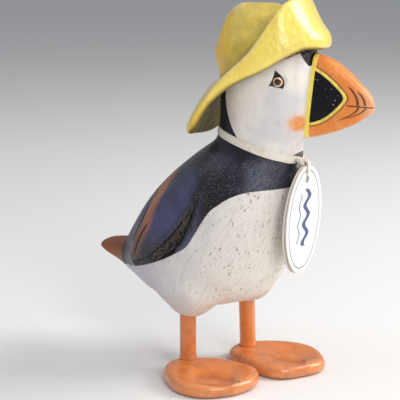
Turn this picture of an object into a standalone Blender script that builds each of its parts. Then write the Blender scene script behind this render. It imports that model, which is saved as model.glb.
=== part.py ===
# A hand-carved, painted wooden puffin on two dowel legs, in a yellow
# fisherman's hat, with a woven ribbon and an oval card tag at its neck.
# Metres, +Z up. The bird faces -Y, so its left side is +X.
# Tables are in millimetres and give (forward, height) in the bird's own
# middle plane; point() turns them into metres.

import math

import bmesh
import bpy
from mathutils import Matrix, Vector
from mathutils.bvhtree import BVHTree

MM = 0.001
GAP = 0.3 * MM                # clearance between pieces that touch

# Carved body, from the tip of the tail to the crown of the head. Each row is
# one flat section: its back edge, its front edge and its half width.
BODY = [
    # back edge       front edge      half
    ((-74.4, 57.0), (-74.0, 55.2), 4.0),
    ((-72.4, 58.4), (-71.8, 53.4), 9.0),
    ((-65.5, 59.8), (-64.0, 49.8), 10.0),
    ((-57.0, 61.2), (-55.0, 46.4), 12.0),
    ((-50.5, 67.2), (-45.0, 41.5), 18.0),
    ((-43.0, 78.0), (-33.0, 36.0), 25.0),
    ((-34.0, 91.0), (-13.0, 33.0), 30.5),
    ((-23.6, 102.0), (11.0, 34.5), 33.0),
    ((-12.8, 110.8), (30.0, 46.0), 33.0),
    ((-4.0, 117.2), (40.2, 66.5), 31.0),
    ((1.6, 120.8), (44.2, 87.0), 27.0),
    ((4.2, 123.4), (46.0, 103.0), 22.8),
    ((5.2, 126.4), (45.7, 114.6), 20.8),
    ((5.6, 130.0), (46.4, 122.6), 20.2),
    ((5.8, 136.0), (51.5, 132.0), 20.3),
    ((5.8, 148.0), (53.0, 147.0), 20.4),
    ((6.2, 160.0), (52.8, 161.0), 20.0),
    ((8.0, 170.0), (51.0, 172.0), 18.5),
]
PARTING = {"tail": 3.2, "trunk": 11.4, "neck": 12.6}   # last section of each
SQUARENESS = 2.12             # exponent of the sections' superellipse
SIDES = 32
STEPS = 2                     # rings between two rows of BODY

NECK_AXIS = 26.3              # forward place of the upright axis the head turns on
HEAD_TURN = math.radians(15)  # to the bird's left
TURN_ROWS = (11.5, 14.0)      # rows over which the body takes up the turn

# Hat: one tilted plane parts the head from the crown of the hat.
HAT_PLANE_HEIGHT = 156.6
HAT_PLANE_RISE = 0.364        # height gained per unit forward
CROWN_RADIUS = 20.5
CROWN_BULGE = 2.7
CROWN_LEAN = -6.0             # forward place of the top of the crown
CROWN_TOP = 189.2
BRIM_THICKNESS = 4.4
BRIM_HUG = 4.6                # the turned-up front leans in towards the crown
BRIM_SAG = 3.8                # the back hangs lower on the bird's left
BRIM_SIDES = 40
# Brim, by angle from the front: root, two middle points and rim, each
# (distance from the neck axis, height).
BRIM = [
    (0, (20.9, 170.6), (28.0, 171.8), (42.4, 168.4), (19.6, 191.0)),
    (30, (20.9, 169.6), (27.5, 171.2), (39.8, 169.8), (21.8, 190.6)),
    (55, (20.9, 165.8), (27.0, 166.2), (35.0, 165.0), (25.4, 186.8)),
    (75, (20.9, 161.8), (25.5, 160.4), (31.5, 157.8), (26.2, 174.0)),
    (90, (20.9, 159.6), (25.0, 157.5), (30.0, 155.0), (27.5, 164.0)),
    (110, (20.9, 156.8), (25.0, 154.5), (29.5, 149.5), (30.5, 154.5)),
    (130, (20.9, 153.4), (24.5, 151.5), (30.0, 145.0), (33.5, 142.0)),
    (150, (20.9, 151.0), (24.5, 149.0), (31.0, 139.5), (35.5, 129.5)),
    (180, (20.9, 150.0), (24.5, 148.0), (31.5, 138.5), (36.0, 126.0)),
]

# Bill: forward of the neck axis, top, bottom, half width.
BILL = [
    (22.0, 166.8, 124.6, 9.0),
    (26.0, 166.0, 125.4, 8.2),
    (34.5, 163.3, 127.6, 7.2),
    (41.0, 159.0, 130.0, 6.2),
    (46.5, 154.3, 132.6, 5.1),
    (51.0, 149.2, 135.4, 4.0),
    (54.3, 144.6, 138.0, 2.8),
    (55.6, 141.8, 139.6, 1.3),
]
BILL_PLANE = ((22.9, 124.9), (25.1, 166.4))   # where the bill meets the head
BILL_SQUARENESS = 3.4
MOUTH_HEIGHT = 140.5

EYE = (13.4, 153.6)           # forward of the neck axis, height
EYE_RADIUS = 2.6
EYE_DEPTH = 1.6
EYE_RISE = 0.7

# Wing: a leaf on the body's side, along a curve from shoulder to tip, with a
# gouged hollow in the body under its front edge.
WING_CURVE = [(4.0, 104.0), (-8.0, 88.0), (-22.0, 69.0), (-38.0, 55.0)]
WING_HALF = 11.8
WING_RAISE = 2.0
WING_BED = 2.6
WING_GOUGE = 3.4
WING_CLEARANCE = 0.6

LEG_RADIUS = 4.2
LEG_TOP = 36.0
LEG_BOTTOM = 4.2
# Each side: where the leg meets the foot, the leg's lean, the foot's turn
# outwards and its shift outwards.
STANCE = {
    "right": {"side": -1, "out": 17.5, "forward": -6.7, "lean": 0.0, "toe_out": 12.0, "shift": 5.4},
    "left": {"side": 1, "out": 17.6, "forward": 7.8, "lean": 3.5, "toe_out": 2.0, "shift": 0.6},
}
THIGH_RADII = (14.0, 19.0, 21.0)
THIGH_HEIGHT = 50.3
THIGH_FORWARD = 0.6           # share of the leg's own place forward

FOOT_CENTRE = 18.6            # forward of the leg's axis
# Outline of each foot, radii every 30 degrees from the toe, round by the outer side.
FOOT_OUTLINE = {
    "right": (24.6, 23.6, 23.6, 22.0, 20.8, 23.2, 25.6, 21.4, 20.8, 21.4, 26.2, 26.4),
    "left": (26.6, 22.9, 21.2, 19.6, 18.8, 21.0, 26.6, 26.6, 21.4, 23.2, 26.6, 25.4),
}
FOOT_HEIGHT = 7.1
FOOT_DISH = 3.0
FOOT_SIDES = 36

RIBBON_ROW = 12.0
RIBBON_BOW = 0.45             # rows by which it rides up at the sides
RIBBON_DROOP = 0.24           # rows by which the knot pulls it down in front
RIBBON_HALF = 0.31            # half its width, in rows of BODY
RIBBON_PINCH = 0.45           # share of its width lost at the knot
RIBBON_CLEARANCE = 0.45
RIBBON_THICKNESS = 0.7

TAG_LENGTH = 54.5
TAG_WIDTH = 33.5
TAG_PLY = 0.8
TAG_TOP = (52.0, 112.4)       # forward, height of its upper end
TAG_LEAN = math.radians(3.5)  # lower end set back towards the breast
TAG_SWING = math.radians(1)   # lower end swung to the bird's right
TAG_HOLE = 1.9                # radius
TAG_HOLE_DROP = 7.0           # centre below the upper end
KNOT = (48.6, 113.0)          # forward, height
KNOT_RADII = (3.3, 1.4, 2.5)
LINK = (51.0, 109.8)          # centre of the loop from the knot through the hole
LINK_RADII = (3.0, 5.0)       # forward, upward
LINK_THICKNESS = 1.3

WOOD_BLACK = (0.018, 0.019, 0.028)
WOOD_WHITE = (0.78, 0.76, 0.72)
ORANGE = (0.72, 0.23, 0.06)
YELLOW = (0.85, 0.62, 0.06)
CREAM = (0.82, 0.78, 0.68)


def clear_scene():
    for obj in list(bpy.data.objects):
        bpy.data.objects.remove(obj, do_unlink=True)


def collection(name):
    group = bpy.data.collections.new(name)
    bpy.context.scene.collection.children.link(group)
    return group


def point(side, forward, height):
    return Vector((side, -forward, height)) * MM


def material(name, colour, roughness, metallic=0.0):
    mat = bpy.data.materials.new(name)
    mat.use_nodes = True
    shader = mat.node_tree.nodes["Principled BSDF"]
    shader.inputs["Base Color"].default_value = (*colour, 1.0)
    shader.inputs["Roughness"].default_value = roughness
    shader.inputs["Metallic"].default_value = metallic
    return mat


def new_object(name, bm, group, mat=None):
    bmesh.ops.recalc_face_normals(bm, faces=bm.faces)
    mesh = bpy.data.meshes.new(name)
    bm.to_mesh(mesh)
    bm.free()
    obj = bpy.data.objects.new(name, mesh)
    group.objects.link(obj)
    if mat:
        mesh.materials.append(mat)
    mesh.shade_smooth()
    mesh.set_sharp_from_angle(angle=math.radians(40))
    return obj


def baked(obj):
    # The object with its modifiers made real.
    bpy.context.view_layer.update()
    graph = bpy.context.evaluated_depsgraph_get()
    mesh = bpy.data.meshes.new_from_object(obj.evaluated_get(graph))
    obj.modifiers.clear()
    obj.data = mesh
    return obj


def boolean(obj, other, operation):
    mod = obj.modifiers.new(operation.lower(), "BOOLEAN")
    mod.operation = operation
    mod.solver = "EXACT"
    mod.object = other
    other.hide_render = True
    other.display_type = "WIRE"


def spline(rows, t):
    # Smooth value between the rows of a table, each a flat list of numbers.
    index = min(max(int(math.floor(t)), 0), len(rows) - 2)
    u = t - index
    before = rows[max(index - 1, 0)]
    start = rows[index]
    end = rows[index + 1]
    after = rows[min(index + 2, len(rows) - 1)]
    values = []
    for a, b, c, d in zip(before, start, end, after):
        values.append(b + 0.5 * u * (c - a + u * (2 * a - 5 * b + 4 * c - d + u * (3 * (b - c) + d - a))))
    return values


def bulge(value, exponent):
    # One coordinate of a superellipse, from a sine or cosine.
    return math.copysign(abs(value) ** (2 / exponent), value)


def loft(rings, closed=False):
    # Skin over rings of equal count; the ends get flat caps unless it closes on itself.
    bm = bmesh.new()
    loops = [[bm.verts.new(co) for co in ring] for ring in rings]
    count = len(loops[0])
    pairs = list(zip(loops, loops[1:]))
    if closed:
        pairs.append((loops[-1], loops[0]))
    for lower, upper in pairs:
        for i in range(count):
            j = (i + 1) % count
            bm.faces.new((lower[i], lower[j], upper[j], upper[i]))
    if not closed:
        bm.faces.new(list(reversed(loops[0])))
        bm.faces.new(loops[-1])
    return bm


def cut_flat(bm, origin, normal):
    # Everything on the normal's side of the plane goes, and the cut is closed.
    geometry = bm.verts[:] + bm.edges[:] + bm.faces[:]
    bmesh.ops.bisect_plane(bm, geom=geometry, dist=1e-7, plane_co=origin,
                           plane_no=normal, clear_outer=True)
    rim = [edge for edge in bm.edges if edge.is_boundary]
    bmesh.ops.edgeloop_fill(bm, edges=rim)


def head_matrix():
    axis = Matrix.Translation(point(0, NECK_AXIS, 0))
    return axis @ Matrix.Rotation(HEAD_TURN, 4, "Z")


def body_ring(t, shift=0.0):
    # One section of the body; shift moves it along its own normal.
    flat = [(*back, *front, half) for back, front, half in BODY]
    back_f, back_h, front_f, front_h, half = spline(flat, t)
    back = point(0, back_f, back_h)
    front = point(0, front_f, front_h)
    centre = (back + front) / 2
    arm = (back - front) / 2
    normal = Vector((1, 0, 0)).cross(arm).normalized()
    share = (t - TURN_ROWS[0]) / (TURN_ROWS[1] - TURN_ROWS[0])
    share = min(max(share, 0.0), 1.0)
    pivot = point(0, NECK_AXIS, 0)
    turn = Matrix.Rotation(HEAD_TURN * share, 4, "Z")
    ring = []
    for i in range(SIDES):
        angle = 2 * math.pi * i / SIDES
        co = centre + arm * bulge(math.cos(angle), SQUARENESS)
        co += Vector((half * MM * bulge(math.sin(angle), SQUARENESS), 0, 0))
        co += normal * shift
        ring.append(pivot + turn @ (co - pivot))
    return ring


def body_length(start, end):
    # Loft of the body between two sections, short of each by half the gap.
    steps = max(2, round((end - start) * STEPS))
    rings = [body_ring(start + (end - start) * i / steps) for i in range(steps + 1)]
    first = GAP / 2 if start > 0 else 0.0
    last = GAP / 2 if end < len(BODY) - 1 else 0.0
    rings[0] = body_ring(start, first)
    rings[-1] = body_ring(end, -last)
    return loft(rings)


def ellipsoid(name, centre, radii, group, mat=None, segments=20, rings=10):
    bm = bmesh.new()
    bmesh.ops.create_uvsphere(bm, u_segments=segments, v_segments=rings, radius=1.0)
    bmesh.ops.scale(bm, vec=Vector(radii) * MM, verts=bm.verts)
    bmesh.ops.translate(bm, vec=centre, verts=bm.verts)
    return new_object(name, bm, group, mat)


def rod(name, start, end, radius, group, mat=None, segments=20, edge=0.0):
    bm = bmesh.new()
    length = (end - start).length
    bmesh.ops.create_cone(bm, cap_ends=True, segments=segments, radius1=radius, radius2=radius, depth=length)
    turn = (end - start).to_track_quat("Z", "Y").to_matrix().to_4x4()
    bmesh.ops.transform(bm, matrix=Matrix.Translation((start + end) / 2) @ turn, verts=bm.verts)
    obj = new_object(name, bm, group, mat)
    if edge:
        bevel = obj.modifiers.new("edge", "BEVEL")
        bevel.width = edge
        bevel.segments = 1
    return obj


def leg_line(stance):
    # Lower and upper end of the dowel's axis.
    side = stance["side"]
    low = point(side * stance["out"], stance["forward"], LEG_BOTTOM)
    lean = math.tan(math.radians(stance["lean"])) * (LEG_TOP - LEG_BOTTOM)
    high = point(side * (stance["out"] - lean), stance["forward"], LEG_TOP)
    return low, high


def make_tail(group, mat):
    return new_object("tail", body_length(0, PARTING["tail"]), group, mat)


def make_trunk(group, cutters, mat):
    trunk = new_object("trunk", body_length(PARTING["tail"], PARTING["trunk"]), group, mat)
    for name, stance in STANCE.items():
        centre = point(stance["side"] * stance["out"], stance["forward"] * THIGH_FORWARD, THIGH_HEIGHT)
        thigh = ellipsoid("thigh_" + name, centre, THIGH_RADII, cutters)
        boolean(trunk, thigh, "UNION")
    return baked(trunk)


def wing_place(u, v, widen):
    # A place on the leaf, seen from the side: u from shoulder to tip, v from back to front edge.
    a, b, c, d = (Vector(co) for co in WING_CURVE)
    middle = a * (1 - u) ** 3 + b * 3 * u * (1 - u) ** 2 + c * 3 * u * u * (1 - u) + d * u ** 3
    slope = (b - a) * (1 - u) ** 2 + (c - b) * 2 * u * (1 - u) + (d - c) * u * u
    across = Vector((-slope.y, slope.x)).normalized()
    half = WING_HALF * math.sin(math.pi * u) ** 0.6 * (1.1 - 0.3 * u)
    reach = v * (half + widen)
    return middle + across * reach


def wing_loft(side, surface, raised, bed, end, edge, gouge):
    # The leaf laid on the trunk's side: its face stands proud, its bed is sunk in.
    rings = []
    rows, columns = 9, 6
    for i in range(rows + 1):
        u = end + (1 - 2 * end) * i / rows
        proud, sunk = [], []
        for j in range(columns + 1):
            v = 2 * j / columns - 1
            hollow = gouge * math.sin(math.pi * min(1.0, u)) * max(0.0, v) ** 2
            forward, height = wing_place(u, v, edge + hollow)
            start = point(side * 60, forward, height)
            place, normal, _, _ = surface.ray_cast(start, Vector((-side, 0, 0)))
            rise = raised(u, v) * MM
            proud.append(place + normal * rise)
            sunk.append(place - normal * bed * MM)
        rings.append(proud + sunk[::-1])
    return loft(rings)


def wing_rise(u, v):
    # The face swells from the shoulder and rolls off at its edges.
    swell = min(1.0, u / 0.35)
    return WING_RAISE * swell * (1 - 0.6 * abs(v) ** 3) + 0.15


def make_wings(trunk, group, cutters, mat):
    surface = BVHTree.FromObject(trunk, bpy.context.evaluated_depsgraph_get())
    for name, side in (("wing_right", -1), ("wing_left", 1)):
        bm = wing_loft(side, surface, wing_rise, WING_BED, 0.04, 0.0, 0.0)
        new_object(name, bm, group, mat)
        bm = wing_loft(side, surface, lambda u, v: 6.0, WING_BED + WING_CLEARANCE, 0.03,
                       WING_CLEARANCE, WING_GOUGE)
        bed = new_object(name + "_bed", bm, cutters)
        boolean(trunk, bed, "DIFFERENCE")


def make_neck(group, mat):
    return new_object("neck", body_length(PARTING["trunk"], PARTING["neck"]), group, mat)


def bill_plane():
    (low_f, low_h), (high_f, high_h) = BILL_PLANE
    frame = head_matrix()
    origin = frame @ point(0, low_f, low_h)
    along = frame.to_3x3() @ point(0, high_f - low_f, high_h - low_h)
    side = frame.to_3x3() @ Vector((1, 0, 0))
    normal = side.cross(along).normalized()
    return origin, normal


def hat_plane():
    frame = head_matrix()
    origin = frame @ point(0, 0, HAT_PLANE_HEIGHT)
    normal = frame.to_3x3() @ point(0, -HAT_PLANE_RISE, 1.0)
    return origin, normal.normalized()


def make_head(group, mat):
    bm = body_length(PARTING["neck"], len(BODY) - 1)
    cut_flat(bm, *hat_plane())
    cut_flat(bm, *bill_plane())
    return new_object("head", bm, group, mat)


def bill_ring(t):
    forward, top, bottom, half = spline(BILL, t)
    frame = head_matrix()
    middle = (top + bottom) / 2
    reach = (top - bottom) / 2
    ring = []
    for i in range(SIDES):
        angle = 2 * math.pi * i / SIDES
        height = middle + reach * bulge(math.cos(angle), BILL_SQUARENESS)
        side = half * bulge(math.sin(angle), BILL_SQUARENESS)
        ring.append(frame @ point(side, forward, height))
    return ring


def make_bill(group, mat):
    last = len(BILL) - 1
    origin, normal = bill_plane()
    mouth = point(0, 0, MOUTH_HEIGHT)
    halves = {"bill_upper": -1, "bill_lower": 1}
    for name, sign in halves.items():
        bm = loft([bill_ring(last * i / 12) for i in range(13)])
        cut_flat(bm, origin + normal * GAP, -normal)
        up = Vector((0, 0, sign))
        cut_flat(bm, mouth - up * GAP / 2, up)
        new_object(name, bm, group, mat)


def make_eye(name, side, head, group, cutters, mat):
    # A low dome in a shallow round socket, square to the head's surface.
    frame = head_matrix()
    start = frame @ point(side * 60, *EYE)
    aim = (frame @ point(0, *EYE) - start).normalized()
    surface = BVHTree.FromObject(head, bpy.context.evaluated_depsgraph_get())
    place, normal, _, _ = surface.ray_cast(start, aim)
    turn = normal.to_track_quat("Z", "Y").to_matrix().to_4x4()
    where = Matrix.Translation(place) @ turn
    bm = bmesh.new()
    bmesh.ops.create_uvsphere(bm, u_segments=16, v_segments=8, radius=1.0)
    size = Vector((EYE_RADIUS, EYE_RADIUS, EYE_RISE)) * MM
    bmesh.ops.scale(bm, vec=size, verts=bm.verts)
    low = [v for v in bm.verts if v.co.z < -1e-6]
    bmesh.ops.delete(bm, geom=low, context="VERTS")
    rim = [edge for edge in bm.edges if edge.is_boundary]
    wall = bmesh.ops.extrude_edge_only(bm, edges=rim)["geom"]
    foot = [v for v in wall if isinstance(v, bmesh.types.BMVert)]
    bmesh.ops.translate(bm, vec=(0, 0, -EYE_DEPTH * MM), verts=foot)
    bmesh.ops.edgeloop_fill(bm, edges=[edge for edge in bm.edges if edge.is_boundary])
    bmesh.ops.transform(bm, matrix=where, verts=bm.verts)
    eye = new_object(name, bm, group, mat)
    floor = place - normal * (EYE_DEPTH * MM + GAP)
    socket = rod(name + "_socket", floor, place + normal * 4 * MM, EYE_RADIUS * MM + GAP, cutters)
    boolean(head, socket, "DIFFERENCE")
    return eye


def make_crown(group, mat):
    frame = head_matrix()
    rings = []
    levels = 10
    for i in range(levels):
        u = i / levels
        rise = math.sin(u * math.pi / 2)
        width = CROWN_RADIUS * (1 - rise ** 2.4) ** (1 / 2.3)
        width += CROWN_BULGE * math.sin(math.pi * min(1.0, rise * 1.25)) ** 4
        reach = CROWN_RADIUS * (1 - rise ** 3.5) ** (1 / 2.5)
        ring = []
        for k in range(SIDES):
            angle = 2 * math.pi * k / SIDES
            front = max(0.0, math.cos(angle))
            forward = width * math.cos(angle) + CROWN_LEAN * rise ** 1.5
            forward += (reach - width - CROWN_LEAN * rise ** 1.5) * front
            base = HAT_PLANE_HEIGHT + HAT_PLANE_RISE * width * math.cos(angle)
            height = base + (CROWN_TOP - base) * rise
            ring.append(frame @ point(width * math.sin(angle), forward, height))
        rings.append(ring)
    lift = hat_plane()[1] * GAP
    rings = [[co + lift for co in ring] for ring in rings]
    bm = loft(rings)
    return new_object("hat_crown", bm, group, mat)


def brim_profile(angle):
    # Root, middle points and rim at one angle round the head.
    angle = abs((angle + 180) % 360 - 180)
    stops = [row[0] for row in BRIM]
    index = max(i for i, stop in enumerate(stops[:-1]) if stop <= angle)
    t = index + (angle - stops[index]) / (stops[index + 1] - stops[index])
    flat = [[value for pair in row[1:] for value in pair] for row in BRIM]
    values = spline(flat, t)
    return [Vector(values[i:i + 2]) for i in range(0, 8, 2)]


def brim_lean(angle, t):
    # How far a place on the brim leans in at the front and sags at the back left.
    front = max(0.0, math.cos(math.radians(angle))) ** 1.5
    hug = BRIM_HUG * front * math.sin(math.pi * min(1.0, max(0.0, 2 * t - 1))) ** 1.5
    sag = 0.0
    if 90 < angle < 180:
        sag = BRIM_SAG * math.sin(math.radians(2 * (180 - angle))) * t * t
    return Vector((hug, sag))


def brim_section(angle):
    # Closed outline of the brim's cut face: out along the underside, round the rim and back.
    a, b, c, d = brim_profile(angle)
    half = BRIM_THICKNESS / 2
    under, upper = [], []
    steps = 6
    for i in range(steps + 1):
        t = i / steps
        co = a * (1 - t) ** 3 + b * 3 * t * (1 - t) ** 2 + c * 3 * t * t * (1 - t) + d * t ** 3
        slope = (b - a) * (1 - t) ** 2 + (c - b) * 2 * t * (1 - t) + (d - c) * t * t
        normal = Vector((-slope.y, slope.x)).normalized()
        co = co - brim_lean(angle, t)
        under.append(co - normal * half)
        upper.append(co + normal * half)
    d = d - brim_lean(angle, 1.0)
    tangent = (d - c).normalized()
    side = Vector((-tangent.y, tangent.x))
    nose = []
    for i in range(1, 4):
        swing = math.pi * i / 4
        nose.append(d + tangent * half * math.sin(swing) - side * half * math.cos(swing))
    outline = under + nose + upper[::-1]
    return [(max(co.x, a.x), co.y) for co in outline]


def make_brim(group, mat):
    frame = head_matrix()
    rings = []
    for i in range(BRIM_SIDES):
        degrees = 360 * i / BRIM_SIDES
        angle = math.radians(degrees)
        ring = []
        for reach, height in brim_section(degrees):
            ring.append(frame @ point(reach * math.sin(angle), reach * math.cos(angle), height))
        rings.append(ring)
    return new_object("hat_brim", loft(rings, closed=True), group, mat)


def make_leg(name, stance, group, mat):
    low, high = leg_line(stance)
    return rod("leg_" + name, low, high, LEG_RADIUS * MM, group, mat, edge=0.4 * MM)


def foot_height(u, v):
    # Height of the foot's upper side: a rim round a dished web, level at the heel.
    dish = math.exp(-((v - 0.30) / 0.46) ** 2 - ((u - 0.08) / 0.5) ** 2)
    return FOOT_HEIGHT - FOOT_DISH * dish


def make_foot(name, stance, group, cutters, mat):
    # A paddle built of outlines, from the flat sole up and in over the rim.
    outline = [[radius] for radius in FOOT_OUTLINE[name]]
    outline = outline[-1:] + outline + outline[:2]
    shell = [(0.90, 0.0), (0.97, 0.12), (1.0, 0.4), (0.985, 0.7), (0.94, 0.9)]
    rings = []
    levels = shell + [(0.85, None), (0.66, None), (0.42, None), (0.16, None)]
    for share, level in levels:
        ring = []
        for i in range(FOOT_SIDES):
            angle = 2 * math.pi * i / FOOT_SIDES
            radius = spline(outline, 1 + 12 * i / FOOT_SIDES)[0] * share
            outward, forward = radius * math.sin(angle), radius * math.cos(angle)
            height = FOOT_HEIGHT * (level or 0)
            if level is None:
                height = foot_height(outward / 24, forward / 24)
            ring.append(point(stance["side"] * outward, forward + FOOT_CENTRE, height))
        rings.append(ring)
    bm = loft(rings)
    side = stance["side"]
    turn = Matrix.Rotation(side * math.radians(stance["toe_out"]), 4, "Z")
    place = point(side * stance["out"], stance["forward"], 0)
    shift = point(side * stance["shift"], 0, 0)
    bmesh.ops.transform(bm, matrix=Matrix.Translation(place + shift) @ turn, verts=bm.verts)
    foot = new_object("foot_" + name, bm, group, mat)
    low, high = leg_line(stance)
    down = (low - high).normalized()
    hole = rod("foot_hole_" + name, low + down * GAP, high, LEG_RADIUS * MM + GAP, cutters)
    boolean(foot, hole, "DIFFERENCE")
    return foot


def drill_trunk(trunk, cutters):
    for name, stance in STANCE.items():
        low, high = leg_line(stance)
        up = (high - low).normalized()
        hole = rod("leg_hole_" + name, low, high + up * GAP, LEG_RADIUS * MM + GAP, cutters)
        boolean(trunk, hole, "DIFFERENCE")


def make_ribbon(group, mat):
    # A flat band laid on the neck, riding up a little at its sides.
    rings = []
    for i in range(SIDES):
        angle = 2 * math.pi * i / SIDES
        pull = max(0.0, -math.cos(angle)) ** 9
        row = RIBBON_ROW + RIBBON_BOW * math.sin(angle) ** 2 - RIBBON_DROOP * pull
        half = RIBBON_HALF * (1 - RIBBON_PINCH * pull)
        low = body_ring(row - half)
        high = body_ring(row + half)
        middle = (low[0] + low[SIDES // 2]) / 2
        along = (high[i] - low[i]).normalized()
        out = low[i] - middle
        out = (out - along * out.dot(along)).normalized()
        inner = out * RIBBON_CLEARANCE * MM
        outer = out * (RIBBON_CLEARANCE + RIBBON_THICKNESS) * MM
        rings.append([low[i] + inner, low[i] + outer, high[i] + outer, high[i] + inner])
    return new_object("ribbon", loft(rings, closed=True), group, mat)


def make_knot(group, cutters, mat):
    # The ribbon's knot at the throat and the loop that carries the tag.
    knot = ellipsoid("ribbon_knot", point(0, *KNOT), KNOT_RADII, group, mat, segments=12, rings=6)
    rings = []
    turns = 16
    for i in range(turns):
        angle = 2 * math.pi * i / turns
        out = Vector((0, -math.cos(angle), math.sin(angle)))
        forward = LINK[0] + LINK_RADII[0] * math.cos(angle)
        height = LINK[1] + LINK_RADII[1] * math.sin(angle)
        centre = point(0, forward, height)
        ring = []
        for k in range(6):
            swing = 2 * math.pi * k / 6
            offset = out * math.cos(swing) + Vector((math.sin(swing), 0, 0))
            ring.append(centre + offset * LINK_THICKNESS / 2 * MM)
        rings.append(ring)
    link = new_object("tag_link", loft(rings, closed=True), cutters)
    boolean(knot, link, "UNION")


def tag_frame():
    # Its own axes: x across, y up the card, z out of its face.
    forward, height = TAG_TOP
    lean = Matrix.Rotation(math.radians(90) + TAG_LEAN, 4, "X")
    swing = Matrix.Rotation(-TAG_SWING, 4, "Z")
    return Matrix.Translation(point(0, forward, height)) @ lean @ swing


def make_tag(group, cutters, mat):
    frame = tag_frame()
    hole_low = frame @ Vector((0, -TAG_HOLE_DROP * MM, -5 * MM))
    hole_high = frame @ Vector((0, -TAG_HOLE_DROP * MM, 5 * MM))
    offsets = {"tag_front": (TAG_PLY * MM + GAP) / 2, "tag_back": -(TAG_PLY * MM + GAP) / 2}
    for name, offset in offsets.items():
        bm = bmesh.new()
        bmesh.ops.create_cone(bm, cap_ends=True, segments=48, radius1=1.0, radius2=1.0, depth=TAG_PLY * MM)
        size = Vector((TAG_WIDTH / 2 * MM, TAG_LENGTH / 2 * MM, 1.0))
        bmesh.ops.scale(bm, vec=size, verts=bm.verts)
        bmesh.ops.translate(bm, vec=(0, -TAG_LENGTH / 2 * MM, offset), verts=bm.verts)
        bmesh.ops.transform(bm, matrix=frame, verts=bm.verts)
        tag = new_object(name, bm, group, mat)
        hole = rod(name + "_hole", hole_low, hole_high, TAG_HOLE * MM, cutters, segments=12)
        boolean(tag, hole, "DIFFERENCE")


def stand_on_origin(group, cutters):
    # The origin goes to the middle of the whole object's box, at the soles.
    bpy.context.view_layer.update()
    graph = bpy.context.evaluated_depsgraph_get()
    corners = []
    for obj in group.objects:
        final = obj.evaluated_get(graph)
        corners += [final.matrix_world @ Vector(co) for co in final.bound_box]
    low = [min(co[axis] for co in corners) for axis in range(3)]
    high = [max(co[axis] for co in corners) for axis in range(3)]
    root = bpy.data.objects.new("puffin_root", None)
    group.objects.link(root)
    root.location = (-(low[0] + high[0]) / 2, -(low[1] + high[1]) / 2, -low[2])
    for obj in list(group.objects) + list(cutters.objects):
        if obj is not root:
            obj.parent = root


def main():
    clear_scene()
    group = collection("puffin")
    cutters = collection("cutters")
    black = material("painted_black", WOOD_BLACK, 0.4)
    white = material("painted_white", WOOD_WHITE, 0.6)
    orange = material("painted_orange", ORANGE, 0.45)
    yellow = material("painted_yellow", YELLOW, 0.2)
    cream = material("cream", CREAM, 0.8)
    make_tail(group, black)
    trunk = make_trunk(group, cutters, black)
    make_wings(trunk, group, cutters, black)
    drill_trunk(trunk, cutters)
    make_neck(group, white)
    head = make_head(group, white)
    for name, side in (("eye_right", -1), ("eye_left", 1)):
        make_eye(name, side, head, group, cutters, black)
    make_bill(group, orange)
    make_crown(group, yellow)
    make_brim(group, yellow)
    for name, stance in STANCE.items():
        make_leg(name, stance, group, orange)
        make_foot(name, stance, group, cutters, orange)
    make_ribbon(group, cream)
    make_knot(group, cutters, cream)
    make_tag(group, cutters, cream)
    stand_on_origin(group, cutters)


main()
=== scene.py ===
# Looks for a hand-carved, hand-painted wooden puffin in a yellow rain hat.
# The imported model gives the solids; this file gives the carved skins, the paint, the
# woven tape and the card tag. Paint and relief share one set of formulas, in
# millimetres: side from the bird's middle plane, forward, and up from the floor.
import math

import bmesh
import bpy
import numpy as np
from mathutils import Matrix, Vector
from mathutils.bvhtree import BVHTree

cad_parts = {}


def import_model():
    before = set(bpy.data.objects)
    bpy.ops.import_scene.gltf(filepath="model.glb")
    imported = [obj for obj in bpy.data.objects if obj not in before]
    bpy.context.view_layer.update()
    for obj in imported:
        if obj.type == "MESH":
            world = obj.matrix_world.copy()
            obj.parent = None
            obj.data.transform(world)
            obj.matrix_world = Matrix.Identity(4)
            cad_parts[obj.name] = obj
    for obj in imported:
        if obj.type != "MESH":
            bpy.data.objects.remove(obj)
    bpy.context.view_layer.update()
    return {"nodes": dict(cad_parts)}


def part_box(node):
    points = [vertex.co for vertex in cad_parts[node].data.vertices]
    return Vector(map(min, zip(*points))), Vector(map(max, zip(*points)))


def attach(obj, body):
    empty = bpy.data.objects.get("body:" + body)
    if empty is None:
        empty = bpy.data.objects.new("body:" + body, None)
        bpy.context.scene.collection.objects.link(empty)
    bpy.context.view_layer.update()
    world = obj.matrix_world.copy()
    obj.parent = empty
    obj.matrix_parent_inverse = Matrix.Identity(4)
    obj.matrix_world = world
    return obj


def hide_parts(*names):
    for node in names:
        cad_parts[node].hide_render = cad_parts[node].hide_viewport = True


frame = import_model()
mm = 0.001
weld = 1e-6      # corners closer than this, in metres, become one

trunkLow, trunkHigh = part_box("trunk")
bird = {
    "middle": (trunkLow[0] + trunkHigh[0]) / 2,  # its middle plane
    "zero": trunkHigh[1] - 55.4 * mm,  # the rump lies 55.4 behind zero
    "neckForward": 26.3,  # upright axis that the head turns on
    "headTurn": math.radians(15),
    "hatHeight": 156.6,  # plane that parts head and hat
    "hatRise": 0.364,
}


# Shader maths written as expressions: a socket with operators, and a graph.

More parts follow.
